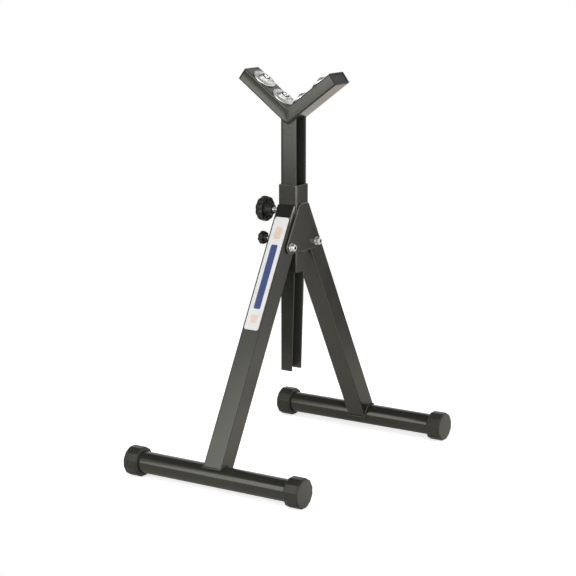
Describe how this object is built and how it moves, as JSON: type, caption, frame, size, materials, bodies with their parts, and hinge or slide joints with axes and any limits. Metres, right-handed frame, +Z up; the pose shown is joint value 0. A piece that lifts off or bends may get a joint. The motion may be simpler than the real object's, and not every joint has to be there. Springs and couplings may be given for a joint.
{
  "type": "roller stand",
  "caption": "Folding steel work stand with leaning legs, a clamped sliding mast and a V-shaped head that carries ball transfer units for feeding bar, pipe or board.",
  "frame": {"origin": "on the floor under the middle of the mast, centred between the feet", "axes": "+Z up along the mast, X along the foot tubes with the screw knobs on the -X side, Y the way the legs spread"},
  "size_m": [0.396, 0.5862, 0.7644],
  "materials": {
    "paint": "smooth dark grey paint",
    "zinc": "bright zinc plate",
    "ball": "polished",
    "cap": "fine grained",
    "knob": "satin moulded",
    "label": "plain film",
    "pad": "turned"
  },
  "bodies": {
    "hub": {"sleeve": "paint", "gusset_plain": "paint", "gusset_clamp": "paint", "clamp_nut": "zinc", "front_lock_nut": "zinc", "rear_lock_nut": "zinc", "front_pivot_bolt": "zinc", "front_pivot_washer": "zinc", "front_pivot_nut": "zinc", "rear_pivot_bolt": "zinc", "rear_pivot_washer": "zinc", "rear_pivot_nut": "zinc"},
    "mast_and_head": {"mast": "paint", "right_arm": "paint", "left_arm": "paint", "right_arm_plug": "cap", "left_arm_plug": "cap", "right_inner_housing": "zinc", "right_outer_housing": "zinc", "left_inner_housing": "zinc", "left_outer_housing": "zinc", "right_inner_screw_1": "zinc", "right_inner_screw_2": "zinc", "right_inner_screw_3": "zinc", "right_outer_screw_1": "zinc", "right_outer_screw_2": "zinc", "right_outer_screw_3": "zinc", "left_inner_screw_1": "zinc", "left_inner_screw_2": "zinc", "left_inner_screw_3": "zinc", "left_outer_screw_1": "zinc", "left_outer_screw_2": "zinc", "left_outer_screw_3": "zinc"},
    "front_leg_and_foot": {"front_leg": "paint", "front_leg_closure": "cap", "front_label": "label", "front_foot_tube": "paint", "front_foot_cap_a": "cap", "front_foot_cap_b": "cap"},
    "rear_leg_and_foot": {"rear_leg": "paint", "rear_leg_closure": "cap", "rear_foot_tube": "paint", "rear_foot_cap_a": "cap", "rear_foot_cap_b": "cap"},
    "clamp_tip": {"clamp_pad": "pad"},
    "clamp_handle": {"clamp_screw": "zinc", "clamp_knob": "knob"},
    "front_lock_tip": {"front_lock_pad": "pad"},
    "front_lock_handle": {"front_lock_screw": "zinc", "front_lock_knob": "knob"},
    "rear_lock_tip": {"rear_lock_pad": "pad"},
    "rear_lock_handle": {"rear_lock_screw": "zinc", "rear_lock_knob": "knob"},
    "ball_right_inner": {"right_inner_ball": "ball"},
    "ball_right_outer": {"right_outer_ball": "ball"},
    "ball_left_inner": {"left_inner_ball": "ball"},
    "ball_left_outer": {"left_outer_ball": "ball"}
  },
  "joints": [
    {"name": "mast_slide", "type": "slide", "parent": "hub", "child": "mast_and_head", "axis": [0, 0, 1], "range_m": [-0.105, 0.26]},
    {"name": "front_leg_fold", "type": "hinge", "parent": "hub", "child": "front_leg_and_foot", "pos_m": [0, -0.045, 0.43], "axis": [1, 0, 0], "range_deg": [0, 28.7]},
    {"name": "rear_leg_fold", "type": "hinge", "parent": "hub", "child": "rear_leg_and_foot", "pos_m": [0, 0.045, 0.43], "axis": [-1, 0, 0], "range_deg": [0, 28.7]},
    {"name": "clamp_advance", "type": "slide", "parent": "hub", "child": "clamp_tip", "axis": [-1, 0, 0], "range_m": [0, 0.0046]},
    {"name": "clamp_turn", "type": "hinge", "parent": "clamp_tip", "child": "clamp_handle", "pos_m": [-0.06, 0, 0.492], "axis": [-1, 0, 0], "range_deg": [0, 1080]},
    {"name": "front_lock_advance", "type": "slide", "parent": "hub", "child": "front_lock_tip", "axis": [-1, 0, 0], "range_m": [0, 0.0021]},
    {"name": "front_lock_turn", "type": "hinge", "parent": "front_lock_tip", "child": "front_lock_handle", "pos_m": [-0.042, -0.03829, 0.44226], "axis": [-1, 0, 0], "range_deg": [0, 720]},
    {"name": "rear_lock_advance", "type": "slide", "parent": "hub", "child": "rear_lock_tip", "axis": [-1, 0, 0], "range_m": [0, 0.0021]},
    {"name": "rear_lock_turn", "type": "hinge", "parent": "rear_lock_tip", "child": "rear_lock_handle", "pos_m": [-0.042, 0.03829, 0.44226], "axis": [-1, 0, 0], "range_deg": [0, 720]},
    {"name": "right_inner_roll", "type": "hinge", "parent": "mast_and_head", "child": "ball_right_inner", "pos_m": [0.02054, 0, 0.71412], "axis": [0.8028, 0, 0.5962], "continuous": true},
    {"name": "right_outer_roll", "type": "hinge", "parent": "mast_and_head", "child": "ball_right_outer", "pos_m": [0.06429, 0, 0.74662], "axis": [0.8028, 0, 0.5962], "continuous": true},
    {"name": "left_inner_roll", "type": "hinge", "parent": "mast_and_head", "child": "ball_left_inner", "pos_m": [-0.02054, 0, 0.71412], "axis": [-0.8028, 0, 0.5962], "continuous": true},
    {"name": "left_outer_roll", "type": "hinge", "parent": "mast_and_head", "child": "ball_left_outer", "pos_m": [-0.06429, 0, 0.74662], "axis": [-0.8028, 0, 0.5962], "continuous": true}
  ],
  "couplings": [
    {"joint": "clamp_advance", "follows": "clamp_turn", "m_per_rad": 0.00023873},
    {"joint": "front_lock_advance", "follows": "front_lock_turn", "m_per_rad": 0.00015915},
    {"joint": "rear_lock_advance", "follows": "rear_lock_turn", "m_per_rad": 0.00015915}
  ]
}
